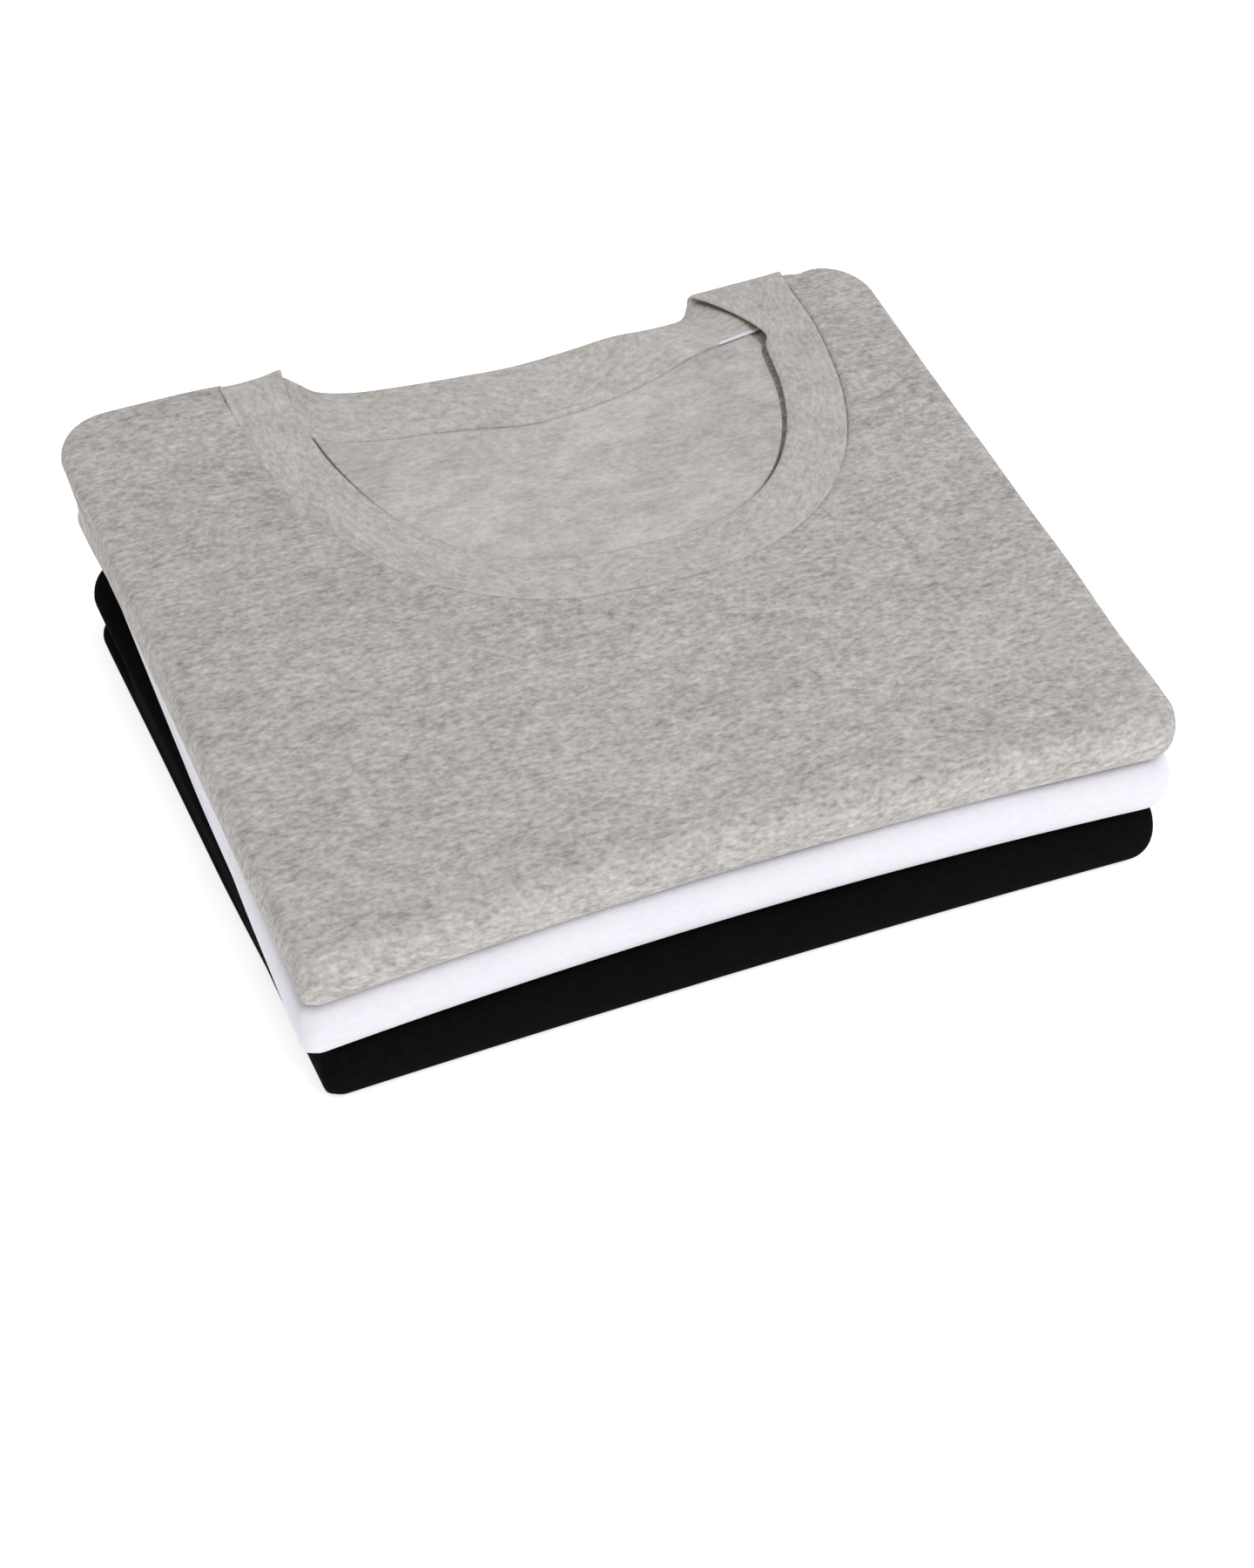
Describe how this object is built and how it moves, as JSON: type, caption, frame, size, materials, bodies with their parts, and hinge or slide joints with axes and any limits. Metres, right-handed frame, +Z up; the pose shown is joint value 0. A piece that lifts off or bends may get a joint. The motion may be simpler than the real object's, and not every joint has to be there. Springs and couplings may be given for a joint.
{
  "type": "stack of folded t-shirts",
  "caption": "Folded crew-neck t-shirts in grey marl, white and black, laid face up in a stack, with the top one's rib neckband standing up at the back.",
  "frame": {"origin": "on the surface the stack rests on, in the middle of its footprint", "axes": "+Z up; +Y towards the necks and shoulder edges; -Y towards the front folds; +X to the right of someone who looks at the front folds"},
  "size_m": [0.309, 0.2835, 0.063],
  "materials": {
    "black_jersey": "matte single jersey knit",
    "black_rib": "matte rib knit",
    "white_jersey": "matte single jersey knit",
    "white_rib": "matte rib knit",
    "grey_jersey": "matte single jersey knit",
    "grey_rib": "matte rib knit"
  },
  "bodies": {
    "root": {"black_front_panel": "black_jersey", "black_back_panel": "black_jersey", "black_neckband": "black_rib", "black_sleeve_left": "black_jersey", "black_sleeve_right": "black_jersey", "black_folded_layers": "black_jersey", "white_front_panel": "white_jersey", "white_back_panel": "white_jersey", "white_neckband": "white_rib", "white_sleeve_left": "white_jersey", "white_sleeve_right": "white_jersey", "white_folded_layers": "white_jersey", "grey_front_panel": "grey_jersey", "grey_back_panel": "grey_jersey", "grey_neckband": "grey_rib", "grey_sleeve_left": "grey_jersey", "grey_sleeve_right": "grey_jersey", "grey_folded_layers": "grey_jersey"}
  },
  "joints": []
}
